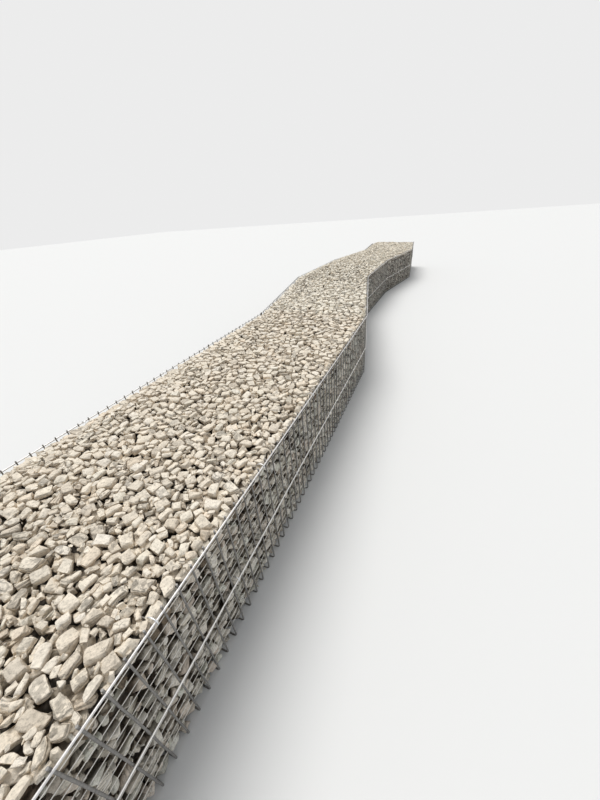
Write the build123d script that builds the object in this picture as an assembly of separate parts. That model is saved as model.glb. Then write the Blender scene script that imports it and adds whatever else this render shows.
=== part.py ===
"""Gabion wall: welded wire mesh baskets in a bent row, packed with broken stone.

Millimetres, +Z up. The front face looks towards -Y and the row runs along +X. The origin is
the bottom centre of the whole wall's bounding box, on the ground.
"""
from build123d import *
import math
import os

os.makedirs("parts", exist_ok=True)

# Plan of the wall: for each bay, the number of mesh pitches along its face and its heading in
# degrees, counted from +X towards the back.
bays = [
    (35, 0.0),
    (17, 0.0),
    (33, 10.9),
    (27, -2.1),
    (27, -10.9),
    (26, 3.3),
]
wall_depth = 1350.0
joint_gap = 0.6

# Heavy upright wires, bent in under the stones at the foot. Round wires are square bars here.
upright_pitch = 75.0
upright_size = 8.0
upright_tip_rise = 16.0
foot_clearance = 12.0
shortest_foot = 24.0

# Heavy rods across the outside of the uprights: the top one is welded on, and the middle one
# is laid against them and held by the cross ties.
rod_size = 8.0
top_rod_height = 750.0

# Thin wires welded across the inside of the uprights, and across the top of the feet
thin_size = 3.0
thin_pitch = 45.0
thin_above_mid_rod = 8
thin_below_mid_rod = 5
base_wire_pitch = 150.0
mid_rod_height = top_rod_height - (thin_above_mid_rod + 1) * thin_pitch

# Cross ties: wires hooked over opposite rods, through the stones. Their places are counted in
# whole mesh pitches from the far end of each bay, and each is half a pitch further in, between
# two uprights.
tie_size = 5.0
tie_hook_drop = 10.0
tie_pitches = 10
first_top_tie_pitches = 8
first_mid_tie_pitches = 3
tie_free_pitches = 2

# Top of the stone fill, which rises from the top rod to a low ridge near the back
fill_shoulder_setback = 300.0
fill_shoulder_rise = 18.0
fill_ridge_setback = 190.0
fill_ridge_rise = 62.0
fill_back_drop = 8.0

# Faces of one mesh panel, counted inwards from the uprights' centres
upright_face = upright_size / 2
rod_outer = -upright_face - rod_size
panel_inner = upright_face + thin_size
base_top = upright_size + thin_size

# Mitre slope at the two square ends of the wall
WALL_END = math.tan(math.radians(90) / 2)


def bar_start(outer, inner, slope):
    """Distance from a joint at which a bar may start, for the joint's mitre slope."""
    return joint_gap / 2 + max(outer * slope, inner * slope)


def block(x_range, y_range, z_range):
    """A box between two values along each axis."""
    low = (x_range[0], y_range[0], z_range[0])
    size = (x_range[1] - x_range[0], y_range[1] - y_range[0], z_range[1] - z_range[0])
    return Pos(*low) * Box(*size, align=(Align.MIN, Align.MIN, Align.MIN))


def profile_along_x(points, x_centre, width):
    """A prism of the given width whose outline is drawn in the YZ plane."""
    outline = make_face(Polyline(*points, close=True))
    return Plane.YZ.offset(x_centre - width / 2) * extrude(outline, width)


def upright_places(length, phase, slopes):
    """Places of the uprights: one at each end of the panel and the rest on the mesh grid."""
    first = bar_start(-upright_face, upright_face, slopes[0]) + upright_size / 2
    last = length - bar_start(-upright_face, upright_face, slopes[1]) - upright_size / 2
    places = [first]
    place = phase
    while place < last - 2 * upright_size:
        if place > first + 2 * upright_size:
            places.append(place)
        place += upright_pitch
    places.append(last)
    return places


def foot_reach(place, length, foot_slopes):
    """How far the foot of an upright runs in, short of the back panel and of the mitres."""
    reach = wall_depth - panel_inner - foot_clearance
    edges = (place - upright_size / 2, length - place - upright_size / 2)
    for edge, slope in zip(edges, foot_slopes):
        if slope > 0:
            reach = min(reach, (edge - joint_gap / 2) / slope)
    return reach


def upright(place, reach):
    """One upright wire, with its foot bent in under the stones where there is room for one."""
    upright_top = top_rod_height + upright_tip_rise
    outline = [(-upright_face, upright_top), (-upright_face, 0)]
    if reach > shortest_foot:
        outline += [(reach, 0), (reach, upright_size), (upright_face, upright_size)]
    else:
        outline += [(upright_face, 0)]
    outline += [(upright_face, upright_top)]
    return profile_along_x(outline, place, upright_size)


def rod(length, height, slopes):
    """One heavy rod across the outside of a panel."""
    start = bar_start(rod_outer, -upright_face, slopes[0])
    end = length - bar_start(rod_outer, -upright_face, slopes[1])
    z_range = (height - rod_size / 2, height + rod_size / 2)
    return block((start, end), (rod_outer, -upright_face), z_range)


def heavy_mesh(length, phase, slopes, foot_slopes=None):
    """The uprights and top rod of one panel, welded where they cross."""
    bars = [rod(length, top_rod_height, slopes)]
    for place in upright_places(length, phase, slopes):
        reach = foot_reach(place, length, foot_slopes) if foot_slopes else 0
        bars.append(upright(place, reach))
    return Part() + bars


def thin_wires(length, slopes):
    """The thin wires across the inside of a panel, as separate straight wires."""
    start = bar_start(upright_face, panel_inner, slopes[0])
    end = length - bar_start(upright_face, panel_inner, slopes[1])
    wires = []
    for step in range(-thin_below_mid_rod, thin_above_mid_rod + 1):
        if step != 0:
            middle = mid_rod_height + step * thin_pitch
            z_range = (middle - thin_size / 2, middle + thin_size / 2)
            wires.append(block((start, end), (upright_face, panel_inner), z_range))
    return wires


def base_wires(length, foot_slopes):
    """The thin wires laid across the feet, parallel to the face."""
    wires = []
    y = base_wire_pitch
    while y < wall_depth - panel_inner - foot_clearance:
        y_range = (y - thin_size / 2, y + thin_size / 2)
        start = max(bar_start(*y_range, foot_slopes[0]), panel_inner)
        end = length - max(bar_start(*y_range, foot_slopes[1]), panel_inner)
        wires.append(block((start, end), y_range, (upright_size, base_top)))
        y += base_wire_pitch
    return wires


def tie(place, rod_height):
    """One cross tie, lying on the front and back rods and hooked down over both."""
    low = rod_height + rod_size / 2
    high = low + tie_size
    hook = low - tie_hook_drop
    near, near_tip = rod_outer, rod_outer - tie_size
    far, far_tip = wall_depth - near, wall_depth - near_tip
    outline = [(near_tip, hook), (near, hook), (near, low), (far, low), (far, hook)]
    outline += [(far_tip, hook), (far_tip, high), (near_tip, high)]
    return profile_along_x(outline, place, tie_size)


def ties(pitches, first_pitches, rod_height):
    """Cross ties of one bay, each half way between two uprights and clear of the bay's start."""
    bay_ties = []
    pitches_in = pitches - first_pitches - 0.5
    while pitches_in > tie_free_pitches:
        bay_ties.append(tie(pitches_in * upright_pitch, rod_height))
        pitches_in -= tie_pitches
    return bay_ties


def stone_fill(length, offset_slopes, at_wall_end):
    """The body of stones in one bay, mitred against its neighbours."""
    back = wall_depth - panel_inner
    section = [(panel_inner, base_top), (panel_inner, top_rod_height)]
    section += [(fill_shoulder_setback, top_rod_height + fill_shoulder_rise)]
    section += [(wall_depth - fill_ridge_setback, top_rod_height + fill_ridge_rise)]
    section += [(back, top_rod_height - fill_back_drop), (back, base_top)]
    start_inset = panel_inner if at_wall_end[0] else 0
    end_inset = panel_inner if at_wall_end[1] else 0
    near = [(start_inset + y * offset_slopes[0], y, z) for y, z in section]
    far = [(length - end_inset - y * offset_slopes[1], y, z) for y, z in section]
    return loft([make_face(Polyline(*near, close=True)), make_face(Polyline(*far, close=True))], ruled=True)


headings = [heading for pitches, heading in bays]
turns = [b - a for a, b in zip(headings, headings[1:])]
joint_slopes = [0.0] + [math.tan(math.radians(turn) / 2) for turn in turns] + [0.0]

nodes = {}
corner = Vector(0, 0, 0)
front_mid_rods = []
back_mid_rods = []
top_ties = []
mid_ties = []
for index, (pitches, heading) in enumerate(bays):
    number = index + 1
    is_first = index == 0
    is_last = number == len(bays)
    length = pitches * upright_pitch
    slopes = (joint_slopes[index], joint_slopes[number])
    mesh_slopes = (WALL_END if is_first else slopes[0], WALL_END if is_last else slopes[1])
    front = Location(corner, (0, 0, heading))

    nodes[f"front_mesh_{number}"] = [front * heavy_mesh(length, upright_pitch, mesh_slopes, slopes)]
    front_wires = thin_wires(length, mesh_slopes) + base_wires(length, slopes)
    nodes[f"front_wires_{number}"] = [front * wire for wire in front_wires]
    front_mid_rods.append(front * rod(length, mid_rod_height, mesh_slopes))

    back_start = wall_depth * slopes[0]
    back_end = length - wall_depth * slopes[1]
    back_length = back_end - back_start
    back_slopes = (WALL_END if is_last else -slopes[1], WALL_END if is_first else -slopes[0])
    back = front * Location((back_end, wall_depth, 0), (0, 0, 180))
    nodes[f"back_mesh_{number}"] = [back * heavy_mesh(back_length, back_end % upright_pitch, back_slopes)]
    nodes[f"back_wires_{number}"] = [back * wire for wire in thin_wires(back_length, back_slopes)]
    back_mid_rods.append(back * rod(back_length, mid_rod_height, back_slopes))

    bay_top_ties = ties(pitches, first_top_tie_pitches, top_rod_height)
    bay_mid_ties = ties(pitches, first_mid_tie_pitches, mid_rod_height)
    fill = stone_fill(length, slopes, (is_first, is_last)) - (bay_top_ties + bay_mid_ties)
    nodes[f"stone_fill_{number}"] = [front * fill]
    top_ties += [front * one for one in bay_top_ties]
    mid_ties += [front * one for one in bay_mid_ties]

    if is_first:
        near_end = front * Location((0, wall_depth, 0), (0, 0, -90))
    if is_last:
        far_end = front * Location((length, 0, 0), (0, 0, 90))
    corner = (front * Location((length, 0, 0))).position

end_slopes = (WALL_END, WALL_END)
end_mid_rods = []
for name, end in (("near", near_end), ("far", far_end)):
    end_mid_rods.append(end * rod(wall_depth, mid_rod_height, end_slopes))
    nodes[f"{name}_end_mesh"] = [end * heavy_mesh(wall_depth, upright_pitch, end_slopes)]
    nodes[f"{name}_end_wires"] = [end * wire for wire in thin_wires(wall_depth, end_slopes)]
nodes["front_mid_rods"] = front_mid_rods
nodes["back_mid_rods"] = back_mid_rods
nodes["end_mid_rods"] = end_mid_rods
nodes["top_ties"] = top_ties
nodes["mid_ties"] = mid_ties

# The row's origin is the bottom centre of everything's bounding box
everything = Compound(children=[solid for shapes in nodes.values() for shape in shapes for solid in shape.solids()])
box = everything.bounding_box()
to_origin = Location((-box.center().X, -box.center().Y, -box.min.Z))
for name, shapes in nodes.items():
    solids = [to_origin * solid for shape in shapes for solid in shape.solids()]
    export_step(Compound(children=solids), f"parts/{name}.step")
    print(name, len(solids), "solids")
print("wall", round(box.size.X), round(box.size.Y), round(box.size.Z))
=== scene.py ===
"""Looks of the gabion wall: round galvanised wires, packed broken stone, and a plain stage.

Metres, +Z up. The wall's front looks towards -Y and the row of bays runs along +X.
"""

import itertools
import math

import bmesh
import bpy
import numpy as np
from mathutils import Matrix, Vector, noise


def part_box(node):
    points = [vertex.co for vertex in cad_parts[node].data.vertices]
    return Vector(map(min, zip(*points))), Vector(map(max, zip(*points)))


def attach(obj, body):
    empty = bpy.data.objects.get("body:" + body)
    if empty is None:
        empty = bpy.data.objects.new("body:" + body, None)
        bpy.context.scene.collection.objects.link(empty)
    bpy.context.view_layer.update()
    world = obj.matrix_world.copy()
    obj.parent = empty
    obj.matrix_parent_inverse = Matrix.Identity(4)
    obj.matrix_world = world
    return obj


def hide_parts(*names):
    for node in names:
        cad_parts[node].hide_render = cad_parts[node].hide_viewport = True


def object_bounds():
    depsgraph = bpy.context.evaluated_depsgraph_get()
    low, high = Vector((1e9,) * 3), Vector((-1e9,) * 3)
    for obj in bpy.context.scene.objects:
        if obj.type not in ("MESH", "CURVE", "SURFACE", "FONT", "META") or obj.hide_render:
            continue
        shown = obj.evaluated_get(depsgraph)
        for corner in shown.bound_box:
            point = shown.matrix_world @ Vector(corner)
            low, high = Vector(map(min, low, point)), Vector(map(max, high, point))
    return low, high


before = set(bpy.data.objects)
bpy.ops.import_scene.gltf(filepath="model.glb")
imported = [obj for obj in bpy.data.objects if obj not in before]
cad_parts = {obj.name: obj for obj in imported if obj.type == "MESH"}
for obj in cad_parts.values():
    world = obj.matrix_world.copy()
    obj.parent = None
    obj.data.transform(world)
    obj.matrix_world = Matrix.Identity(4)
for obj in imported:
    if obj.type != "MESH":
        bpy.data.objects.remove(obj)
cad_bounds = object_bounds()

# Plan of the wall: for each bay, the number of mesh pitches along its face and its heading in
# degrees, counted from +X towards the back
BAYS = [(35, 0.0), (17, 0.0), (33, 10.9), (27, -2.1), (27, -10.9), (26, 3.3)]
DEPTH = 1.350
JOINT_GAP = 0.0006
PITCH = 0.075

# Welded mesh
BAR = 0.008
BAR_TOP = 0.766
TOP_ROD = 0.750
MID_ROD = 0.345
THIN = 0.003
THIN_PITCH = 0.045
THIN_STEPS = [step for step in range(-5, 9) if step != 0]
BASE_PITCH = 0.150
FOOT_CLEARANCE = 0.012
SHORTEST_FOOT = 0.024
FOOT_BEND = 0.020
PANEL_INNER = BAR / 2 + THIN
ROD_LINE = -BAR
ROD_OUTER = BAR * 1.5

# Mitre slope at the two square ends of the wall
WALL_END = 1.0

# Half sizes of the welds at the top rod and at the thin wires
ROD_WELD = (0.0052, 0.0030, 0.0046)
THIN_WELD = (0.0034, 0.0013, 0.0025)

# How far the wires are from straight: lean and bow of the uprights, and waves of the others
UPRIGHT_LEAN = 0.0006
UPRIGHT_BOW = 0.0007
WIRE_WAVE = 0.0005

# Cross ties
TIE = 0.005
TIE_PITCHES = 10
FIRST_TOP_TIE = 8.5
FIRST_MID_TIE = 3.5
TIE_FREE = 2
TIE_SAG = 0.032

# A tie's hooked end from its tip on, as places in from the uprights and heights above the rod
TIE_HOOK = [
    (-0.0138, -0.0110), (-0.0145, -0.0040), (-0.0140, 0.0030), (-0.0115, 0.0075),
    (-0.0060, 0.0105), (0.0040, 0.0125), (0.0140, 0.0105), (0.0240, 0.0040),
    (0.0340, -0.0070), (0.0460, -0.0190), (0.0620, -0.0280),
]

# Top of the stones, as places across the wall and heights
SECTION = [(0.0, 0.750), (0.300, 0.768), (1.160, 0.811), (1.343, 0.744), (1.350, 0.740)]
STONE_BASE = 0.009

# Camera of the photograph: its place from the wall's near front corner, its aim in degrees, its
# focal length and picture in pixels, and a sensor size in millimetres
CAMERA_AT = (0.24554, -0.69026, 1.85177)
CAMERA_PITCH = 31.317
CAMERA_ROLL = 4.521
CAMERA_HEADING = 24.187
FOCAL_PIXELS = 307.7
PHOTO_HIGH = 800
PHOTO_WIDE = 600
SENSOR = 36.0

near_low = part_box("near_end_mesh")[0]
front_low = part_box("front_mesh_1")[0]
START = np.array([near_low[0] + ROD_OUTER, front_low[1] + ROD_OUTER])


def new_object(name, data):
    """A new object in the scene."""
    made = bpy.data.objects.new(name, data)
    bpy.context.scene.collection.objects.link(made)
    return made


class Panel:
    """One flat side of the mesh: a corner, a heading, a length and the mitres at its two ends.

    Along a panel x runs to the right as seen from outside, y runs inwards and z up.
    """

    def __init__(self, name, corner, heading, length, slopes, phase=PITCH, foot_slopes=None):
        self.name = name
        self.corner = np.array(corner, float)
        turn = math.radians(heading)
        self.along = np.array([math.cos(turn), math.sin(turn)])
        self.inward = np.array([-math.sin(turn), math.cos(turn)])
        self.length = length
        self.slopes = slopes
        self.phase = phase
        self.foot_slopes = foot_slopes

    def node(self, what):
        """Name of the node that holds the panel's mesh or its wires."""
        side, tail = self.name.split("_")
        return f"{self.name}_{what}" if tail == "end" else f"{side}_{what}_{tail}"

    def place(self, points):
        """Panel coordinates as coordinates of the wall."""
        points = np.asarray(points, float)
        flat = self.corner + points[:, :1] * self.along + points[:, 1:2] * self.inward
        return np.column_stack([flat, points[:, 2]])


def span(length, slopes, outer, inner):
    """Start and end of a bar between two distances in from a face, clear of the joints' mitres."""
    clear = [JOINT_GAP / 2 + max(outer * slope, inner * slope) for slope in slopes]
    return clear[0], length - clear[1]


def lay_out():
    """The panels of the wall, bay by bay, and the two ends."""
    headings = [heading for pitches, heading in BAYS]
    turns = [after - before for before, after in zip(headings, headings[1:])]
    joints = [0.0] + [math.tan(math.radians(turn) / 2) for turn in turns] + [0.0]
    fronts, backs = [], []
    corner = START.copy()
    for index, (pitches, heading) in enumerate(BAYS):
        length = pitches * PITCH
        slopes = (joints[index], joints[index + 1])
        first, last = index == 0, index == len(BAYS) - 1
        ends = (WALL_END if first else slopes[0], WALL_END if last else slopes[1])
        front = Panel(f"front_{index + 1}", corner, heading, length, ends, PITCH, slopes)
        back_start = DEPTH * slopes[0]
        back_end = length - DEPTH * slopes[1]
        back_corner = front.place([(back_end, DEPTH, 0)])[0][:2]
        back_ends = (WALL_END if last else -slopes[1], WALL_END if first else -slopes[0])
        back = Panel(f"back_{index + 1}", back_corner, heading + 180, back_end - back_start,
                     back_ends, back_end % PITCH)
        fronts.append(front)
        backs.append(back)
        corner = front.place([(length, 0, 0)])[0][:2]
    near_corner = fronts[0].place([(0, DEPTH, 0)])[0][:2]
    near = Panel("near_end", near_corner, BAYS[0][1] - 90, DEPTH, (WALL_END, WALL_END))
    far = Panel("far_end", corner, BAYS[-1][1] + 90, DEPTH, (WALL_END, WALL_END))
    return fronts, backs, [near, far]


FRONTS, BACKS, ENDS = lay_out()


# Camera

def camera_axes():
    """The camera's right, down and forward directions."""
    heading, pitch, roll = (math.radians(a) for a in (CAMERA_HEADING, CAMERA_PITCH, CAMERA_ROLL))
    level = np.array([math.sin(heading), -math.cos(heading), 0.0])
    ahead = np.array([math.cos(heading), math.sin(heading), 0.0])
    up = np.array([0.0, 0.0, 1.0])
    forward = math.cos(pitch) * ahead - math.sin(pitch) * up
    down = -math.sin(pitch) * ahead - math.cos(pitch) * up
    right = math.cos(roll) * level + math.sin(roll) * down
    down = -math.sin(roll) * level + math.cos(roll) * down
    return right, down, forward


RIGHT, DOWN, FORWARD = camera_axes()
EYE = np.array([START[0] + CAMERA_AT[0], START[1] + CAMERA_AT[1], CAMERA_AT[2]])


def make_camera():
    """The camera at the photograph's place, with the photograph's lens."""
    data = bpy.data.cameras.new("camera")
    camera = new_object("camera", data)
    data.sensor_width = SENSOR
    data.lens = SENSOR * FOCAL_PIXELS / PHOTO_HIGH
    data.clip_start = 0.02
    data.clip_end = 200
    axes = Matrix([RIGHT, -DOWN, -FORWARD]).transposed().to_4x4()
    camera.matrix_world = Matrix.Translation(EYE) @ axes
    bpy.context.scene.camera = camera


def pixels_per_metre(points):
    """How large a metre shows in the photograph's frame at each point, or 0 outside the frame."""
    nearest = 0.05
    margin = 1.08
    away = points - EYE
    depth = away @ FORWARD
    pixels = FOCAL_PIXELS / np.maximum(depth, nearest)
    seen = depth > nearest
    for axis, size in ((RIGHT, PHOTO_WIDE), (DOWN, PHOTO_HIGH)):
        seen &= abs(away @ axis * pixels) < margin * size / 2
    return np.where(seen, pixels, 0.0)


# Round wires

class Mesh:
    """One piece, gathered from many small shapes that are given along panels."""

    def __init__(self):
        self.points, self.faces, self.materials = [], [], []
        self.count = 0

    def add(self, panel, shape, material=0):
        """Add a shape's points and faces, with the number of its material."""
        points, faces = shape
        self.points.append(panel.place(points))
        self.faces += [tuple(index + self.count for index in face) for face in faces]
        self.materials += [material] * len(faces)
        self.count += len(points)

    def build(self, node, materials, slot, name=None):
        """Make the piece, which rides on the wall, and hide the node's part that it takes the place of."""
        name = name or f"round_{node}"
        mesh = bpy.data.meshes.new(name)
        mesh.from_pydata(np.concatenate(self.points).tolist(), [], self.faces)
        for material in materials:
            mesh.materials.append(material)
        mesh.polygons.foreach_set("material_index", self.materials)
        mesh.shade_smooth()
        mesh.set_sharp_from_angle(angle=math.radians(50))
        piece = new_object(name, mesh)
        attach(piece, "root")
        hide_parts(node)


def tube(path, side, radius, sides):
    """A round wire along a path that lies square to one fixed direction."""
    path = np.asarray(path, float)
    side = np.asarray(side, float)
    steps = np.gradient(path, axis=0)
    steps /= np.linalg.norm(steps, axis=1)[:, None]
    other = np.cross(steps, side)
    other /= np.linalg.norm(other, axis=1)[:, None]
    turns = np.arange(sides) * 2 * math.pi / sides
    ring = np.cos(turns)[None, :, None] * side + np.sin(turns)[None, :, None] * other[:, None, :]
    points = (path[:, None, :] + radius * ring).reshape(-1, 3)
    faces = []
    for row in range(len(path) - 1):
        start = row * sides
        for k in range(sides):
            after = (k + 1) % sides
            faces.append((start + k, start + after, start + sides + after, start + sides + k))
    last = (len(path) - 1) * sides
    faces.append(tuple(range(sides))[::-1])
    faces.append(tuple(last + k for k in range(sides)))
    return points, faces


def bead(centre, radii):
    """A small weld, as a flattened eight-sided bead."""
    corners = np.array([(1, 0, 0), (-1, 0, 0), (0, 1, 0), (0, -1, 0), (0, 0, 1), (0, 0, -1)])
    faces = [(0, 2, 4), (2, 1, 4), (1, 3, 4), (3, 0, 4), (2, 0, 5), (1, 2, 5), (3, 1, 5), (0, 3, 5)]
    return np.asarray(centre) + corners * np.asarray(radii), faces


def upright_places(panel):
    """Places of the uprights: one at each end of the panel and the rest on the mesh grid."""
    start, end = span(panel.length, panel.slopes, -BAR / 2, BAR / 2)
    first, last = start + BAR / 2, end - BAR / 2
    places = [first]
    place = panel.phase
    while place < last - 2 * BAR:
        if place > first + 2 * BAR:
            places.append(place)
        place += PITCH
    places.append(last)
    return places


def foot_reach(panel, place):
    """How far the foot of an upright runs in, short of the back panel and of the mitres."""
    if not panel.foot_slopes:
        return 0
    reach = DEPTH - PANEL_INNER - FOOT_CLEARANCE
    edges = (place - BAR / 2, panel.length - place - BAR / 2)
    for edge, slope in zip(edges, panel.foot_slopes):
        if slope > 0:
            reach = min(reach, (edge - JOINT_GAP / 2) / slope)
    return reach


def upright_path(place, reach, rng):
    """Centre line of an upright, from its tip down and round into its foot."""
    lean = rng.normal(0, UPRIGHT_LEAN)
    heights = np.array([BAR_TOP, TOP_ROD, 0.62, 0.5, MID_ROD, 0.2, 0.08, BAR / 2 + FOOT_BEND])
    bow = rng.normal(0, UPRIGHT_BOW, len(heights))
    bow[:2] = 0
    bow[-1] = 0
    path = [(place + lean * (1 - z / TOP_ROD) + b, 0.0, z) for z, b in zip(heights, bow)]
    if reach > SHORTEST_FOOT:
        steps = 5
        for step in range(1, steps + 1):
            turn = math.radians(90) * step / steps
            y = FOOT_BEND * (1 - math.cos(turn))
            z = BAR / 2 + FOOT_BEND * (1 - math.sin(turn))
            path.append((place + lean, y, z))
        path.append((place, reach, BAR / 2))
    else:
        path.append((place, 0.0, 0.0))
    return path


def wavy_line(start, end, y, z, step, rng):
    """A nearly straight line along a panel, with a point about every step."""
    count = max(3, int(round((end - start) / step)) + 1)
    xs = np.linspace(start, end, count)
    waves = rng.normal(0, WIRE_WAVE, (count, 2))
    waves[0] = waves[-1] = 0
    return np.column_stack([xs, y + waves[:, 0] * 0.3, z + waves[:, 1]])


def heavy_mesh(panel, rng, sides):
    """The uprights and the top rod of one panel, with a weld at each crossing."""
    mesh = Mesh()
    for place in upright_places(panel):
        path = upright_path(place, foot_reach(panel, place), rng)
        mesh.add(panel, tube(path, (1, 0, 0), BAR / 2, sides))
        mesh.add(panel, bead((place, -BAR / 2, TOP_ROD - 0.001), ROD_WELD))
    mesh.add(panel, rod(panel, TOP_ROD, rng, sides), 1)
    return mesh


def rod(panel, height, rng, sides):
    """One heavy rod across the outside of a panel."""
    start, end = span(panel.length, panel.slopes, -ROD_OUTER, -BAR / 2)
    path = wavy_line(start, end, ROD_LINE, height, 0.3, rng)
    return tube(path, (0, 0, 1), BAR / 2, sides)


def thin_mesh(panel, rng, sides):
    """The thin wires of one panel, their welds, and the wires across the feet."""
    mesh = Mesh()
    start, end = span(panel.length, panel.slopes, BAR / 2, PANEL_INNER)
    places = upright_places(panel)
    line = BAR / 2 + THIN / 2
    for step in THIN_STEPS:
        height = MID_ROD + step * THIN_PITCH
        path = wavy_line(start, end, line, height, 0.22, rng)
        mesh.add(panel, tube(path, (0, 0, 1), THIN / 2, sides))
        for place in places:
            mesh.add(panel, bead((place, BAR / 2 + 0.0006, height), THIN_WELD))
    if panel.foot_slopes:
        y = BASE_PITCH
        z = BAR + THIN / 2
        while y < DEPTH - PANEL_INNER - FOOT_CLEARANCE:
            start, end = span(panel.length, panel.foot_slopes, y - THIN / 2, y + THIN / 2)
            path = [(max(start, PANEL_INNER), y, z), (min(end, panel.length - PANEL_INNER), y, z)]
            mesh.add(panel, tube(path, (0, 0, 1), THIN / 2, sides))
            y += BASE_PITCH
    return mesh


def tie_path(place, rod_height, rng):
    """Centre line of a cross tie: hooked round the front rod, over to the back one and round it."""
    front = [(place, y, rod_height + z) for y, z in TIE_HOOK]
    low = rod_height - TIE_SAG
    middle = [(place, y, low - rng.uniform(0, 0.002)) for y in np.linspace(0.12, DEPTH - 0.12, 7)]
    back = [(x, DEPTH - y, z) for x, y, z in front[::-1]]
    return front + middle + back


def ties(first_pitches, rod_height, rng):
    """The cross ties of one height in all bays, each half way between two uprights."""
    mesh = Mesh()
    for panel in FRONTS:
        pitches_in = round(panel.length / PITCH) - first_pitches
        while pitches_in > TIE_FREE:
            path = tie_path(pitches_in * PITCH, rod_height, rng)
            mesh.add(panel, tube(path, (1, 0, 0), TIE / 2, 8))
            pitches_in -= TIE_PITCHES
    return mesh


# Shapes of the stones

# Kinds of stone: share of all, and the least and most of width and thickness for a length of 1
STONE_KINDS = [
    (0.64, (0.72, 0.98), (0.56, 0.84)),
    (0.22, (0.66, 0.94), (0.36, 0.52)),
    (0.14, (0.48, 0.66), (0.40, 0.56)),
]
SHAPE_COUNT = 48

# How far a block's six main faces are off square, and the least and most of further cuts
FACE_TILT = 0.15
CUTS = (6, 11)

# Where the cuts lie, from 0 at the oval inside a block to 1 at its corners: for the share of
# stones that are worn, and for the others
WORN_SHARE = 0.6
WORN_CUTS = (0.06, 0.44)
SHARP_CUTS = (0.26, 0.70)

# Near stones of length 1: width of the worn edges, longest edge left whole, and unevenness
EDGE_WEAR = 0.055
LONGEST_EDGE = 0.27
UNEVEN = 0.080

# Distance below which corners of a stone of length 1 become one, and angle in degrees below
# which its faces do, for near and middle stones and for the plainest
BLOCK_JOINS = (0.06, 6)
PLAIN_JOINS = (0.27, 1)


def corners_of(normals, offsets, merge):
    """Corners of the body between planes, with corners closer than a distance made one."""
    corners = []
    for three in itertools.combinations(range(len(normals)), 3):
        picked = normals[list(three)]
        if abs(np.linalg.det(picked)) > 0.02:
            corner = np.linalg.solve(picked, offsets[list(three)])
            if (normals @ corner < offsets + 1e-6).all():
                corners.append(corner)
    groups = []
    for corner in corners:
        for group in groups:
            if np.linalg.norm(np.mean(group, axis=0) - corner) < merge:
                group.append(corner)
                break
        else:
            groups.append([corner])
    return np.array([np.mean(group, axis=0) for group in groups])


def body_of(normals, offsets, merge, flatness):
    """The closed body between planes, with close corners and nearly flat neighbours joined."""
    shape = bmesh.new()
    for corner in corners_of(normals, offsets, merge):
        shape.verts.new(corner)
    hull = bmesh.ops.convex_hull(shape, input=shape.verts)
    inside = [item for item in hull["geom_interior"] + hull["geom_unused"]
              if item.is_valid and isinstance(item, bmesh.types.BMVert)]
    bmesh.ops.delete(shape, geom=inside, context="VERTS")
    bmesh.ops.dissolve_limit(shape, angle_limit=math.radians(flatness), verts=shape.verts,
                             edges=shape.edges)
    shape.normal_update()
    return shape


def broken_block(rng):
    """Planes of a convex block of broken stone that is 1 long across its farthest corners."""
    cuts = WORN_CUTS if rng.random() < WORN_SHARE else SHARP_CUTS
    pick = rng.random()
    for share, widths, heights in STONE_KINDS:
        if pick < share:
            break
        pick -= share
    size = np.array([1.0, rng.uniform(*widths), rng.uniform(*heights)]) / 2
    normals, offsets = [], []
    for axis in range(3):
        for sign in (-1, 1):
            normal = rng.normal(0, FACE_TILT, 3)
            normal[axis] = sign
            normals.append(normal / np.linalg.norm(normal))
            offsets.append(size[axis] * rng.uniform(0.88, 1.0))
    for cut in range(rng.integers(*CUTS)):
        normal = rng.normal(0, 1, 3) / size
        normal /= np.linalg.norm(normal)
        oval = np.linalg.norm(normal * size)
        box = np.abs(normal * size).sum()
        normals.append(normal)
        offsets.append(oval + (box - oval) * rng.uniform(*cuts))
    normals, offsets = np.array(normals), np.array(offsets)
    corners = corners_of(normals, offsets, 0.0)
    centre = corners.mean(axis=0)
    longest = max(np.linalg.norm(a - b) for a, b in itertools.combinations(corners, 2))
    return normals, (offsets - normals @ centre) / longest


def shape_arrays(shape):
    """Corners and triangles of a shape, which is freed."""
    bmesh.ops.triangulate(shape, faces=shape.faces[:])
    shape.verts.index_update()
    points = np.array([v.co for v in shape.verts])
    triangles = np.array([[v.index for v in face.verts] for face in shape.faces])
    shape.free()
    return points, triangles


def worn_copy(shape, seed):
    """The shape of a near stone, with worn edges and a slightly uneven surface."""
    copy = shape.copy()
    bmesh.ops.bevel(copy, geom=copy.edges[:], offset=EDGE_WEAR, offset_type="OFFSET", segments=1,
                    profile=0.5, affect="EDGES", clamp_overlap=True)
    bmesh.ops.remove_doubles(copy, verts=copy.verts, dist=0.012)
    bmesh.ops.triangulate(copy, faces=copy.faces[:])
    long_edges = [edge for edge in copy.edges if edge.calc_length() > LONGEST_EDGE]
    bmesh.ops.subdivide_edges(copy, edges=long_edges, cuts=1)
    bmesh.ops.triangulate(copy, faces=copy.faces[:])
    copy.normal_update()
    shift = Vector((seed * 7.3, seed * 3.1, seed * 1.7))
    for vertex in copy.verts:
        broad = noise.noise(vertex.co * 1.7 + shift * 0.5)
        coarse = noise.noise(vertex.co * 3.7 + shift)
        fine = noise.noise(vertex.co * 9.3 - shift)
        vertex.co += vertex.normal * (broad * 0.6 + coarse * 0.6 + fine * 0.4 - 0.2) * UNEVEN
    return shape_arrays(copy)


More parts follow.
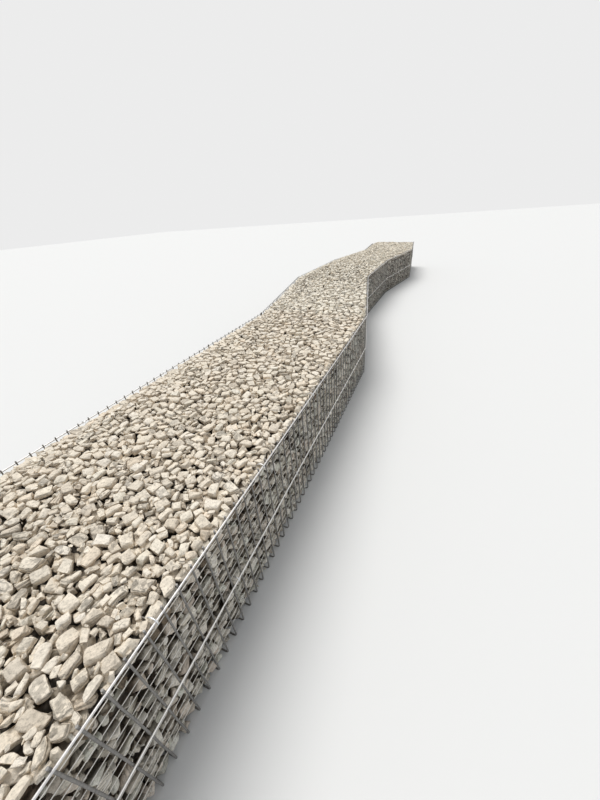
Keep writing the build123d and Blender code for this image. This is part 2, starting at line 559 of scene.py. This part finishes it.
def stone_shapes():
    """Every base shape: its flat faces as planes, and its mesh at three levels of detail."""
    rng = np.random.default_rng(11)
    shapes = []
    for number in range(SHAPE_COUNT):
        normals, offsets = broken_block(rng)
        block = body_of(normals, offsets, *BLOCK_JOINS)
        plain = body_of(normals, offsets, *PLAIN_JOINS)
        levels = [worn_copy(block, number), shape_arrays(block), shape_arrays(plain)]
        shapes.append({"normals": normals, "offsets": offsets, "levels": levels})
    return shapes


# Packing the stones

# Least and most length of the stones of each class, and how many of each are turned ready
LARGE = (0.078, 0.108, 700)
MEDIUM = (0.056, 0.078, 700)
SMALL = (0.036, 0.056, 500)
CHIP = (0.016, 0.030, 300)

# Share of the stones that lie any way up, how far the others tilt, and how far the stones behind
# the mesh lean, in degrees
ANY_WAY_UP = 0.30
TILT = 24
LEAN = 22

# Grid of heights: size of its cells, height that stands for outside, and cells round its edge
CELL = 0.004
FAR = 1000.0
MARGIN = 22

# How many stones are tried at a spot, how much a missing height counts against one, how far it
# sinks in, and the least share of it that has to show
TRIES = 48
SHORT_COST = 0.35
SINK = 0.0025
LEAST_SEEN = 0.12

# Heap on top: its depth, and how far it stays off the mesh and below the wall's highest point
TOP_DEPTH = 0.105
EDGE_CLEARANCE = 0.001
HEADROOM = 0.0035

# Heaps behind the mesh: how high and deep they are, how far off the thin wires they start, and
# how uneven that is over so many cells
FACE_TOP = 0.726
FACE_DEPTH = 0.085
FACE_CLEARANCE = 0.0026
FACE_UNEVEN = 0.022
FACE_CELLS = 12

# Places along the row in metres from its near end, and how far the stones there differ from the
# near ones: they are paler, and the painted shade and dust in the gaps between them and their sizes change
PALER = ((0.8, 3.8, 6.5, 9.5), (0.0, 1.0, 1.0, 0.2))

# How much deeper the gaps look there through darker painted shade and dust, and how much smaller the
# stones are, on top and on the faces
TOP_CHANGE = (1.1, 0.05)
FACE_CHANGE = (-0.2, 0.0)

# Least size in the photograph's pixels of the stones with most detail, on top and on the faces,
# and of those with some
TOP_NEAR_PIXELS = 11.5
FACE_NEAR_PIXELS = 13.5
MIDDLE_PIXELS = 5.5

# Most triangles of one piece, the heaps on top with the near stones' colours, and the ends' bays
PIECE_LIMIT = 180000
NEAR_TOPS = ("top_1", "top_2")
END_BAYS = {"near_end": 1, "far_end": len(BAYS)}


def lying_turn(rng):
    """A turn of a stone about any heading, mostly with a gentle tilt."""
    heading = rng.uniform(0, 2 * math.pi)
    if rng.random() < ANY_WAY_UP:
        tilt = math.acos(rng.uniform(-1, 1))
    else:
        tilt = abs(rng.normal(0, math.radians(TILT)))
    axis = rng.uniform(0, 2 * math.pi)
    lean = Matrix.Rotation(tilt, 3, Vector((math.cos(axis), math.sin(axis), 0)))
    return np.array(lean @ Matrix.Rotation(heading, 3, "Z"))


def standing_turn(rng):
    """A lying stone as seen from its side, for the stones behind the mesh."""
    lean = Matrix.Rotation(rng.normal(0, math.radians(LEAN)), 3, "Z")
    return np.array(lean @ Matrix.Rotation(math.radians(90), 3, "X")) @ lying_turn(rng)


class ReadyStones:
    """Stones of one class at many turns, each with the heights of its underside and its top."""

    def __init__(self, shapes, size_class, turn_of, rng):
        least, most, count = size_class
        self.reach = int(most * 0.62 / CELL) + 2
        steps = np.arange(-self.reach, self.reach + 1) * CELL
        grid_x, grid_y = np.meshgrid(steps, steps)
        found = []
        self.stones = []
        while len(self.stones) < count:
            shape = int(rng.integers(len(shapes)))
            stone = {"shape": shape, "length": rng.uniform(least, most), "turn": turn_of(rng)}
            top, bottom, inside = self.heights(shapes[shape], stone, grid_x, grid_y)
            stone["cells"] = int(inside.sum())
            if stone["cells"] > 2:
                found.append((top, bottom, inside))
                self.stones.append(stone)
        top, bottom, self.inside = (np.array(grids) for grids in zip(*found))
        self.top = np.where(self.inside, top, -FAR).astype(np.float32)
        self.bottom = np.where(self.inside, bottom, FAR).astype(np.float32)
        self.weights = self.inside.reshape(count, -1).astype(np.float32)
        self.weights /= self.weights.sum(axis=1)[:, None]
        undersides = np.where(self.inside, self.bottom, 0).reshape(count, -1)
        self.mean_bottom = (undersides * self.weights).sum(axis=1)
        self.high = self.top.reshape(count, -1).max(axis=1)

    def heights(self, shape, stone, grid_x, grid_y):
        """Heights of a turned stone's top and underside, and where it covers the grid."""
        top = np.full(grid_x.shape, FAR)
        bottom = np.full(grid_x.shape, -FAR)
        inside = np.ones(grid_x.shape, bool)
        for normal, offset in zip(shape["normals"] @ stone["turn"].T, shape["offsets"] * stone["length"]):
            rest = offset - normal[0] * grid_x - normal[1] * grid_y
            if normal[2] > 0.02:
                top = np.minimum(top, rest / normal[2])
            elif normal[2] < -0.02:
                bottom = np.maximum(bottom, rest / normal[2])
            else:
                inside &= rest > 0
        return top, bottom, inside & (top > bottom)


def ready_stones(shapes, turn_of, rng):
    """Ready stones of each class, from large to chips."""
    return [ReadyStones(shapes, size_class, turn_of, rng) for size_class in (LARGE, MEDIUM, SMALL, CHIP)]


def around(row, col, reach):
    """The cells of a grid within reach of one of them."""
    return slice(row - reach, row + reach + 1), slice(col - reach, col + reach + 1)


class Pile:
    """A heap of stones on a grid of heights, built by dropping one stone after another."""

    def __init__(self, surface, ceiling, highest, rng):
        self.surface = np.pad(surface, MARGIN, constant_values=FAR).astype(np.float32)
        self.ceiling = np.pad(ceiling, MARGIN, constant_values=-FAR).astype(np.float32)
        self.highest = highest
        self.first = np.full(self.surface.shape, -1, np.int32)
        self.last = np.full(self.surface.shape, -1, np.int32)
        self.rng = rng
        self.sink = SINK
        self.placed = []

    def drop(self, ready, density, room, under, over, look=3, part=(0.0, 1.0)):
        """Drop stones on low spots that still have the room, each time the best fitting of many.

        A stone's top ends between `under` below the ceiling and `over` above it. `density` is
        the number of tries a square metre, and `part` the part of the heap's length to fill.
        """
        rows, cols = self.surface.shape
        first, last = (MARGIN + int((cols - 2 * MARGIN) * share) for share in part)
        attempts = int((self.ceiling[:, first:last] > -FAR / 2).sum() * CELL ** 2 * density)
        spots_row = self.rng.integers(MARGIN, rows - MARGIN, (attempts, look))
        spots_col = self.rng.integers(first, last, (attempts, look))
        starts = self.rng.integers(0, len(ready.stones) - TRIES, attempts)
        for rows_tried, cols_tried, start in zip(spots_row, spots_col, starts):
            lacking = self.ceiling[rows_tried, cols_tried] - self.surface[rows_tried, cols_tried]
            lowest = int(np.argmax(lacking))
            if lacking[lowest] < room:
                continue
            row, col = int(rows_tried[lowest]), int(cols_tried[lowest])
            self.settle(ready, slice(start, start + TRIES), row, col, under, over)

    def settle(self, ready, some, row, col, under, over):
        """Put down the stone that leaves the least hollow under and above it."""
        window = self.surface[around(row, col, ready.reach)]
        rest = (window - ready.bottom[some]).max(axis=(1, 2)) - self.sink
        hollow = rest + ready.mean_bottom[some] - ready.weights[some] @ window.ravel()
        level = self.ceiling[row, col]
        short = min(level + over, self.highest) - (rest + ready.high[some])
        score = np.where((short < 0) | (short > over + under), FAR, hollow + SHORT_COST * short)
        best = int(np.argmin(score))
        if score[best] >= FAR / 2:
            return
        self.put(ready, some.start + best, row, col, float(rest[best]))

    def put(self, ready, pick, row, col, rest):
        """Put down one stone at a height."""
        place = around(row, col, ready.reach)
        window = self.surface[place]
        inside = ready.inside[pick]
        number = len(self.placed)
        covered = inside & (rest + ready.top[pick] > window)
        self.first[place][inside & (self.first[place] < 0)] = number
        self.last[place][covered] = number
        np.maximum(window, rest + ready.top[pick], out=window, where=inside)
        self.placed.append((ready.stones[pick], row, col, rest))

    def course(self, ready):
        """Put down a row of stones side by side along the bottom edge."""
        col = MARGIN
        while True:
            pick = int(self.rng.integers(len(ready.stones)))
            rows_in, cols_in = np.nonzero(ready.inside[pick])
            row = MARGIN + ready.reach - rows_in.min()
            middle = col + ready.reach - cols_in.min()
            col = middle + cols_in.max() - ready.reach + 1
            if col > self.surface.shape[1] - MARGIN:
                return
            above = self.surface[around(row, middle, ready.reach)] - ready.bottom[pick]
            rest = float(above[ready.inside[pick]].max())
            if rest < FAR / 2:
                self.put(ready, pick, row, middle, rest)

    def smoothed(self, reach):
        """Mean height around each cell of the heap."""
        inside = self.ceiling > -FAR / 2
        sums = []
        for values in (np.where(inside, self.surface, 0), inside.astype(float)):
            for axis in (0, 1):
                running = np.cumsum(values, axis=axis)
                values = np.roll(running, -reach, axis) - np.roll(running, reach + 1, axis)
            sums.append(values)
        return np.where(inside, sums[0] / np.maximum(sums[1], 1), 0)[MARGIN:-MARGIN, MARGIN:-MARGIN]

    def seen(self, layer):
        """The stones that show on one side of the heap, with their places on the grid."""
        counts = np.bincount(layer[layer >= 0], minlength=len(self.placed))
        kept = []
        for number, (stone, row, col, rest) in enumerate(self.placed):
            if counts[number] > max(1, LEAST_SEEN * stone["cells"]):
                kept.append((stone, (col - MARGIN) * CELL, (row - MARGIN) * CELL, rest))
        return kept


class Stones:
    """Stones gathered for one piece."""

    def __init__(self, shapes, seed, deepen, loosen):
        self.shapes = shapes
        self.rng = np.random.default_rng(seed)
        self.deepen = deepen
        self.loosen = loosen
        self.points, self.triangles, self.smooth = [], [], []
        self.places, self.tones, self.depths = [], [], []
        self.count = 0
        self.faces = 0

    def add(self, stone, turn, at, level, depth_of):
        """One stone at its place, with its own coordinates, tone, and the depth that sets the material's
        painted shade and dust in the gaps.
        """
        points, triangles = self.shapes[stone["shape"]]["levels"][level]
        paler = float(np.interp(at[0] - START[0], *PALER))
        length = stone["length"] * (1 - self.loosen * paler)
        placed = points @ turn.T * length + at
        self.points.append(placed)
        self.depths.append(depth_of(placed) * (1 + self.deepen * paler))
        self.triangles.append(triangles + self.count)
        self.smooth.append(np.full(len(triangles), level == 0))
        offset = self.rng.uniform(-40, 40, 3)
        self.places.append(points * length + offset)
        tone = self.rng.random(3)
        if tone[0] > 0.10 * paler:
            tone[0] **= 1 - 0.6 * paler
        else:
            tone[0] *= 0.5
        self.tones.append(np.tile(tone, (len(points), 1)))
        self.count += len(points)
        self.faces += len(triangles)

    def build(self, name, material, node):
        """Make the piece, which rides on the wall, and hide the node's part that it takes the place of."""
        mesh = bpy.data.meshes.new(name)
        mesh.from_pydata(np.concatenate(self.points).tolist(), [], np.concatenate(self.triangles).tolist())
        for label, kind, field, values in (
            ("stone_place", "FLOAT_VECTOR", "vector", self.places),
            ("stone_tone", "FLOAT_VECTOR", "vector", self.tones),
            ("stone_depth", "FLOAT", "value", self.depths),
        ):
            attribute = mesh.attributes.new(label, kind, "POINT")
            attribute.data.foreach_set(field, np.concatenate(values).astype(np.float32).ravel())
        mesh.materials.append(material)
        mesh.set_sharp_from_angle(angle=math.radians(48))
        mesh.polygons.foreach_set("use_smooth", np.concatenate(self.smooth))
        piece = new_object(name, mesh)
        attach(piece, "root")
        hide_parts(node)


def level_for(length, pixels, on_top):
    """Level of detail, with 0 for the most, of a stone that shows so large in the photograph."""
    steps = (TOP_NEAR_PIXELS if on_top else FACE_NEAR_PIXELS, MIDDLE_PIXELS)
    return sum(length * pixels <= step for step in steps)


def top_height(y):
    """Height of the top of the stones at a distance in from the front face."""
    return np.interp(y, *zip(*SECTION))


def top_stones(shapes, rng):
    """The heap that makes the top of the whole wall, on one grid."""
    low, high = cad_bounds
    xs, ys = (low[axis] + np.arange(int((high[axis] - low[axis]) / CELL) + 1) * CELL for axis in (0, 1))
    grid_x, grid_y = np.meshgrid(xs, ys)
    across = np.full(grid_x.shape, np.nan)
    edge = PANEL_INNER + EDGE_CLEARANCE
    for panel in FRONTS:
        dx, dy = grid_x - panel.corner[0], grid_y - panel.corner[1]
        along = dx * panel.along[0] + dy * panel.along[1]
        inward = dx * panel.inward[0] + dy * panel.inward[1]
        first, last = panel is FRONTS[0], panel is FRONTS[-1]
        low_edge = edge if first else inward * panel.foot_slopes[0]
        high_edge = panel.length - (edge if last else inward * panel.foot_slopes[1])
        inside = (along >= low_edge) & (along <= high_edge) & (inward > edge) & (inward < DEPTH - edge)
        across = np.where(inside, inward, across)
    outside = np.isnan(across)
    level = top_height(np.where(outside, 0.0, across))
    surface = np.where(outside, FAR, level - TOP_DEPTH)
    pile = Pile(surface, np.where(outside, -FAR, level), high[2] - HEADROOM, rng)
    large, medium, small, chips = ready_stones(shapes, lying_turn, rng)
    pile.drop(large, 300, 0.070, 0.060, -0.014)
    pile.drop(medium, 400, 0.050, 0.060, -0.014)
    pile.drop(small, 300, 0.045, 0.080, -0.018, look=10, part=(0.0, 0.35))
    pile.sink = 0.004
    pile.drop(large, 400, 0.032, 0.030, 0.010)
    pile.drop(large, 400, 0.030, 0.030, 0.020, part=(0.25, 0.62))
    pile.drop(large, 500, 0.030, 0.030, 0.012, part=(0.10, 1.0))
    pile.drop(medium, 1100, 0.027, 0.036, 0.008)
    for density, room, part in (
        (250, 0.024, (0.0, 1.0)),
        (450, 0.020, (0.0, 0.24)),
        (450, 0.020, (0.0, 0.42)),
        (450, 0.022, (0.60, 1.0)),
    ):
        pile.drop(small, density, room, 0.050, 0.002, look=10, part=part)
    pile.sink = SINK
    pile.drop(chips, 400, 0.020, 0.050, 0.000, look=12, part=(0.0, 0.22))
    kept = pile.seen(pile.last)
    smooth = pile.smoothed(9)

    def depth_of(points):
        """Depth of points below the mean top of the stones around them, which sets their painted shade and
        dust.
        """
        cells = np.rint((points[:, :2] - (xs[0], ys[0])) / CELL).astype(int)
        col, row = np.clip(cells, 0, (len(xs) - 1, len(ys) - 1)).T
        mean = smooth[row, col]
        return np.where(mean > 0, mean, top_height(0)) - points[:, 2]

    placed = [(stone, stone["turn"], np.array([xs[0] + x, ys[0] + y, z])) for stone, x, y, z in kept]
    return depth_of, placed


def face_stones(panel, ready, rng):
    """The stones behind one flat side of the mesh, as a heap that leans on the thin wires."""
    cols = int(panel.length / CELL)
    rows = int((FACE_TOP - STONE_BASE) / CELL)
    bumps = rng.uniform(0, FACE_UNEVEN, (rows // FACE_CELLS + 2, cols // FACE_CELLS + 2))
    surface = np.kron(bumps, np.ones((FACE_CELLS, FACE_CELLS)))[:rows, :cols]
    over = 0.030
    pile = Pile(surface, np.full((rows, cols), FACE_DEPTH), FACE_DEPTH + over, rng)
    large, medium, small, chips = ready
    close = panel is FRONTS[0]
    pile.course(medium)
    for some, density, room, look in (
        (large, 240, FACE_DEPTH - 0.020, 1),
        (medium, 500, FACE_DEPTH - 0.022, 2),
        (small, 700 if close else 350, FACE_DEPTH - 0.020, 5),
        (medium, 400, 0.045, 6),
        (chips, 300 if close else 0, FACE_DEPTH - 0.016, 10),
    ):
        pile.drop(some, density, room, FACE_DEPTH, over, look)
    placed = []
    basis = np.column_stack([np.append(-panel.along, 0), (0, 0, 1), np.append(panel.inward, 0)])
    for stone, x, y, inward in pile.seen(pile.first):
        at = panel.place([(panel.length - x, PANEL_INNER + FACE_CLEARANCE + inward, STONE_BASE + y)])[0]
        placed.append((stone, basis @ stone["turn"], at))

    def depth_of(points):
        """Depth of points in from the mesh, beyond where most stones begin, which sets their painted shade
        and dust.
        """
        return (points[:, :2] - panel.corner) @ panel.inward - PANEL_INNER - FACE_UNEVEN * 0.25

    return depth_of, placed


def bay_of(point):
    """Number of the bay that a place on the wall belongs to."""
    for number, panel in enumerate(FRONTS):
        away = point[:2] - panel.corner
        along, inward = away @ panel.along, away @ panel.inward
        if along < panel.length - inward * panel.foot_slopes[1]:
            return number
    return len(FRONTS) - 1


# Materials

class Nodes:
    """A tree of shader nodes, with short ways to add to it."""

    def __init__(self, tree):
        self.tree = tree

    def feed(self, socket, value):
        """Link an input to another socket, or set its value."""
        if isinstance(value, bpy.types.NodeSocket):
            self.tree.links.new(value, socket)
        else:
            socket.default_value = value

    def adjust(self, node, settings):
        """Set some properties of a node, and set or link some of its inputs."""
        for key, value in settings.items():
            if hasattr(node, key):
                setattr(node, key, value)
            else:
                self.feed(node.inputs[key.replace("_", " ")], value)
        return node

    def add(self, kind, **settings):
        """A new node with settings."""
        return self.adjust(self.tree.nodes.new("ShaderNode" + kind), settings)

    def out(self, output, kind, **settings):
        """One output of a new node."""
        return self.add(kind, **settings).outputs[output]

    def ramp(self, source, stops):
        """A colour ramp over a socket, with colours or shades of grey as its stops."""
        node = self.add("ValToRGB", Fac=source)
        elements = node.color_ramp.elements
        while len(elements) < len(stops):
            elements.new(0.5)
        for element, (position, colour) in zip(elements, stops):
            element.position = position
            element.color = (*colour, 1) if isinstance(colour, tuple) else (colour, colour, colour, 1)
        return node.outputs["Color"]

    def mix(self, blend, factor, first, second):
        """Two colours mixed, where each value may be a socket."""
        node = self.add("Mix", data_type="RGBA", blend_type=blend)
        for number, value in ((0, factor), (6, first), (7, second)):
            self.feed(node.inputs[number], (*value, 1) if isinstance(value, tuple) else value)
        return node.outputs[2]

    def spread(self, source, low, high):
        """A socket's values from 0 to 1 spread between two others."""
        return self.out("Result", "MapRange", Value=source, To_Min=low, To_Max=high)

    def bump(self, height, strength, distance, under=None):
        """The surface raised by a socket, on top of the bumps under it."""
        node = self.add("Bump", Height=height, Strength=strength, Distance=distance)
        if under is not None:
            self.feed(node.inputs["Normal"], under)
        return node.outputs["Normal"]

    def surface(self, shader="Principled BSDF", **settings):
        """Adjust the shader that the tree came with."""
        self.adjust(self.tree.nodes[shader], settings)


def new_material(name):
    """A new material and its nodes."""
    material = bpy.data.materials.new(name)
    material.use_nodes = True
    return material, Nodes(material.node_tree)


def stone_material(name, tones, tints, sides, shade_and_dust_depths):
    """Broken limestone: a tone for each stone, stains, bedding, pits, cracks and a rough fracture, with
    painted shade in the fracture's hollows and on the sides, and painted shade and dust in the gaps.
    """
    material, made = new_material(name)
    place = made.out("Vector", "Attribute", attribute_name="stone_place")
    own_tone = made.out("Vector", "Attribute", attribute_name="stone_tone")
    own = made.add("SeparateXYZ", Vector=own_tone).outputs
    stain = made.add("TexNoise", Vector=place, Scale=26.0, Detail=3.0, Roughness=0.6).outputs
    fracture = made.out("Fac", "TexNoise", Vector=place, Scale=88.0, Detail=4.0, Roughness=0.6)
    grain = made.out("Fac", "TexNoise", Vector=place, Scale=210.0, Detail=5.0, Roughness=0.72)
    beds = made.out("Fac", "TexWave", bands_direction="Z", Vector=place, Scale=27.0, Distortion=4.0,
                    Detail=3.0, Detail_Scale=1.6)
    pits = made.out("Distance", "TexVoronoi", Vector=place, Scale=105.0)
    chips = made.out("Distance", "TexVoronoi", Vector=place, Scale=62.0)
    bent = made.mix("LINEAR_LIGHT", 0.03, place, stain["Color"])
    cracks = made.out("Distance", "TexVoronoi", feature="DISTANCE_TO_EDGE", Vector=bent, Scale=11.0)
    depth = made.out("Fac", "Attribute", attribute_name="stone_depth")
    near, far = shade_and_dust_depths
    sunk = made.out("Result", "MapRange", Value=depth, From_Min=near, From_Max=far)
    upward = made.out("Z", "SeparateXYZ", Vector=made.out("Normal", "NewGeometry"))

    # Some stones show their beds, others are cracked, and pits keep to the pale patches
    bedded = made.ramp(own["Z"], [(0.55, 0.0), (0.85, 0.9)])
    cracked = made.ramp(own["Y"], [(0.50, 0.0), (0.60, 0.7), (0.78, 0.7), (0.85, 0.0)])
    pitted = made.ramp(stain["Fac"], [(0.52, 0.0), (0.62, 0.8)])

    colour = made.ramp(own["X"], tones)
    for strength, source, shades in (
        (1.0, own["Y"], tints),
        (0.9, stain["Fac"], [(0.30, 0.80), (0.50, 1.0), (0.70, 1.08)]),
        (bedded, beds, [(0.08, 0.52), (0.34, 1.0)]),
        # Painted shade in the hollows of the fracture bumps
        (0.8, fracture, [(0.32, 0.62), (0.46, 0.97), (0.64, 1.07)]),
        (0.9, grain, [(0.30, 0.72), (0.46, 1.0), (0.68, 1.08)]),
        (pitted, pits, [(0.10, 0.42), (0.20, 1.0)]),
        (cracked, cracks, [(0.006, 0.60), (0.022, 1.0)]),
        # Painted shade and dust: darker the deeper a point lies below the stones around it
        (1.0, sunk, [(0.0, 1.0), (0.40, (0.78, 0.76, 0.73)), (1.0, (0.24, 0.21, 0.18))]),
        # Painted shade on the sides: darker the more a face turns from straight up
        (1.0, upward, [(0.0, sides), (0.75, 1.0)]),
    ):
        colour = made.mix("MULTIPLY", strength, colour, made.ramp(source, shades))

    raised = made.bump(chips, 0.6, 0.0060)
    raised = made.bump(fracture, 0.85, 0.0075, raised)
    raised = made.bump(grain, 0.35, 0.0009, raised)
    raised = made.bump(beds, bedded, 0.0030, raised)
    rough = made.spread(grain, 0.80, 0.98)
    made.surface(Base_Color=colour, Roughness=rough, Specular_IOR_Level=0.25, Normal=raised)
    return material


def zinc_material(name, dull, bright, dust, dust_amount, roughness, metallic):
    """Hot-dip galvanised wire: patches of dull and bright zinc, with stone dust on top of it."""
    material, made = new_material(name)
    place = made.out("Object", "TexCoord")
    spangle = made.out("Color", "TexVoronoi", Vector=place, Scale=120.0)
    cloud = made.out("Color", "TexNoise", Vector=place, Scale=14.0, Detail=4.0, Roughness=0.65)
    grime = made.out("Fac", "TexNoise", Vector=place, Scale=60.0, Detail=5.0, Roughness=0.7)
    value = made.out("Val", "RGBToBW", Color=made.mix("MIX", 0.55, spangle, cloud))
    patches = made.ramp(value, [(0.30, dull), (0.72, bright)])
    dusty = made.ramp(grime, [(0.42, 0.0), (0.66, dust_amount)])
    colour = made.mix("MIX", dusty, patches, dust)
    rough = made.spread(value, roughness - 0.10, roughness + 0.14)
    raised = made.bump(grime, 0.35, 0.0004)
    made.surface(Base_Color=colour, Metallic=metallic, Roughness=rough, Normal=raised)
    return material


def core_material():
    """Broken stone deep in the gaps, dark as painted shade."""
    material, made = new_material("packing_dust")
    place = made.out("Object", "TexCoord")
    lumps = made.out("Distance", "TexVoronoi", Vector=place, Scale=45.0)
    # Painted shade: near black deep in the gaps
    colour = made.ramp(lumps, [(0.1, (0.22, 0.19, 0.155)), (0.6, (0.06, 0.05, 0.04))])
    made.surface(Base_Color=colour, Roughness=0.95, Normal=made.bump(lumps, 1.0, 0.01))
    return material


# The pieces

# Colours of the stones, from the darkest one to the palest, and tints that set them apart
CREAM = [
    (0.0, (0.72, 0.64, 0.53)), (0.15, (0.87, 0.78, 0.65)),
    (0.75, (0.96, 0.87, 0.73)), (1.0, (0.98, 0.90, 0.78)),
]
PALE_CREAM = [
    (0.0, (0.58, 0.52, 0.44)), (0.15, (0.80, 0.73, 0.61)),
    (0.40, (1.0, 0.92, 0.78)), (1.0, (1.0, 0.94, 0.82)),
]
GREY_BEIGE = [
    (0.0, (0.48, 0.45, 0.40)), (0.22, (0.76, 0.72, 0.64)),
    (0.70, (0.96, 0.91, 0.81)), (1.0, (1.0, 0.97, 0.89)),
]
TINTS = [
    (0.0, (0.97, 0.985, 0.98)), (0.12, (1.0, 1.0, 1.0)),
    (0.88, (1.0, 0.985, 0.965)), (1.0, (1.0, 0.955, 0.91)),
]
MIXED_TINTS = [
    (0.0, (0.92, 0.97, 0.95)), (0.30, (1.0, 1.0, 1.0)),
    (0.70, (1.0, 0.99, 0.97)), (1.0, (1.0, 0.93, 0.90)),
]

# The last two values of each stone material: the painted shade on the sides of the stones, and the depths
# over which painted shade and dust darken the gaps
top_stone = stone_material("top_stone", CREAM, TINTS, (0.93, 0.92, 0.91), (0.011, 0.046))
far_stone = stone_material("far_stone", PALE_CREAM, TINTS, 1.0, (0.014, 0.037))
face_stone = stone_material("face_stone", GREY_BEIGE, MIXED_TINTS, (0.97, 0.96, 0.95), (0.010, 0.038))

# Zinc of the wires: its dull and bright patches, the dust on it and how much of that, how rough
# it is and how metallic
zinc = {}
for wire, *looks in (
    # Uprights: a dark zinc, partly a duller finish and partly painted shade
    ("bar", (0.17, 0.165, 0.16), (0.28, 0.27, 0.26), (0.42, 0.40, 0.36), 0.35, 0.50, 0.55),
    ("rod", (0.58, 0.57, 0.57), (0.82, 0.80, 0.79), (0.76, 0.72, 0.66), 0.30, 0.40, 0.55),
    # Middle rods: a paler zinc than the top rods, as painted light on the shaded front
    ("mid_rod", (0.82, 0.81, 0.79), (0.97, 0.96, 0.94), (0.88, 0.85, 0.80), 0.25, 0.34, 1.0),
    ("thin", (0.64, 0.63, 0.60), (0.88, 0.86, 0.81), (0.86, 0.81, 0.72), 0.50, 0.42, 0.7),
    ("tie", (0.78, 0.79, 0.80), (0.95, 0.96, 0.98), (0.80, 0.78, 0.74), 0.20, 0.34, 0.8),
):
    zinc[wire] = zinc_material(f"{wire}_zinc", *looks)


def make_wires():
    """Every wire, rod and tie of the cage, as round wires in place of the plain bars."""
    rng = np.random.default_rng(5)
    bars, wires = [zinc["bar"], zinc["rod"]], [zinc["thin"]]
    for side, panels in (("front", FRONTS), ("back", BACKS), ("end", ENDS)):
        rods = Mesh()
        for panel in panels:
            heavy = heavy_mesh(panel, rng, 10 if side == "front" else 8)
            heavy.build(panel.node("mesh"), bars, "galvanised_bar")
            thin_mesh(panel, rng, 6).build(panel.node("wires"), wires, "galvanised_wire")
            rods.add(panel, rod(panel, MID_ROD, rng, 12))
        rods.build(f"{side}_mid_rods", [zinc["mid_rod"]], "galvanised_bar")
    ties(FIRST_TOP_TIE, TOP_ROD, rng).build("top_ties", [zinc["tie"]], "tie_wire")
    ties(FIRST_MID_TIE, MID_ROD, rng).build("mid_ties", [zinc["tie"]], "tie_wire")


def make_core():
    """A dark body inside each bay, behind the stones that show: painted shade deep in the heap."""
    inset = 0.080
    material = core_material()
    for number, panel in enumerate(FRONTS):
        section = [(inset, STONE_BASE), (inset, TOP_ROD - inset)]
        section += [(y, z - inset) for y, z in SECTION[1:3]]
        section += [(DEPTH - inset, SECTION[3][1] - inset), (DEPTH - inset, STONE_BASE)]
        start = inset if number == 0 else 0
        end = panel.length - (inset if number == len(FRONTS) - 1 else 0)
        near = [(start + y * panel.foot_slopes[0], y, z) for y, z in section]
        far = [(end - y * panel.foot_slopes[1], y, z) for y, z in section]
        count = len(section)
        faces = [tuple(range(count)), tuple(range(count, 2 * count))[::-1]]
        faces += [(count + k, count + (k + 1) % count, (k + 1) % count, k) for k in range(count)]
        core = Mesh()
        core.add(panel, (near + far, faces))
        core.build(f"stone_fill_{number + 1}", [material], "broken_stone", f"packing_{number + 1}")


def make_stones():
    """The broken stones, bay by bay, on top and behind every side of the mesh."""
    shapes = stone_shapes()
    rng = np.random.default_rng(23)
    heaps = {}
    top_depth, placed = top_stones(shapes, rng)
    for stone, turn, at in placed:
        heaps.setdefault(f"top_{bay_of(at) + 1}", (top_depth, []))[1].append((stone, turn, at))
    standing = ready_stones(shapes, standing_turn, rng)
    for panel in FRONTS + BACKS + ENDS:
        heaps[panel.name] = face_stones(panel, standing, rng)
    seed = 100
    for name, (depth_of, placed) in sorted(heaps.items()):
        places = np.array([at for stone, turn, at in placed])
        on_top = name.startswith("top")
        hidden = name.startswith("back") or name.endswith("end")
        pixels = np.zeros(len(places)) if hidden else pixels_per_metre(places)
        material = (top_stone if name in NEAR_TOPS else far_stone) if on_top else face_stone
        change = TOP_CHANGE if on_top else FACE_CHANGE
        fill = f"stone_fill_{END_BAYS.get(name) or name[-1]}"
        group = Stones(shapes, seed, *change)
        part = 1
        for index in np.argsort(places[:, 0]):
            stone, turn, at = placed[index]
            level = 1 if name == "near_end" else level_for(stone["length"], pixels[index], on_top)
            group.add(stone, turn, at, level, depth_of)
            if group.faces > PIECE_LIMIT:
                group.build(f"stones_{name}_part_{part}", material, fill)
                part += 1
                seed += 1
                group = Stones(shapes, seed, *change)
        group.build(f"stones_{name}_part_{part}", material, fill)
        seed += 1


# Stage

def make_stage():
    """A plain pale floor, a soft sun from above and a pale surround."""
    mesh = bpy.data.meshes.new("floor")
    reach = 60.0
    corners = [(-reach, -reach, 0), (reach, -reach, 0), (reach, reach, 0), (-reach, reach, 0)]
    mesh.from_pydata(corners, [], [(0, 1, 2, 3)])
    floor = new_object("floor", mesh)
    material, made = new_material("pale_floor")
    made.surface(Base_Color=(0.83, 0.83, 0.82, 1), Roughness=0.9)
    mesh.materials.append(material)

    sun = bpy.data.lights.new("sun", "SUN")
    sun.energy = 2.2
    sun.angle = math.radians(38)
    sun.color = (1.0, 0.985, 0.96)
    lamp = new_object("sun", sun)
    lamp.rotation_euler = Vector((-0.30, -0.38, -1.0)).to_track_quat("-Z", "Y").to_euler()

    world = bpy.data.worlds.new("surround")
    bpy.context.scene.world = world
    world.use_nodes = True
    made = Nodes(world.node_tree)
    seen = made.add("LightPath").outputs
    straight = made.add("Math", operation="MAXIMUM")
    made.feed(straight.inputs[0], seen["Is Camera Ray"])
    made.feed(straight.inputs[1], seen["Is Glossy Ray"])
    straight = straight.outputs[0]
    light = made.mix("MIX", straight, (0.93, 0.96, 1.0), (1.0, 1.0, 1.0))
    made.surface("Background", Color=light, Strength=made.spread(straight, 0.48, 0.84))


make_camera()
make_wires()
make_core()
make_stones()
make_stage()
bpy.context.scene.view_settings.view_transform = "Standard"
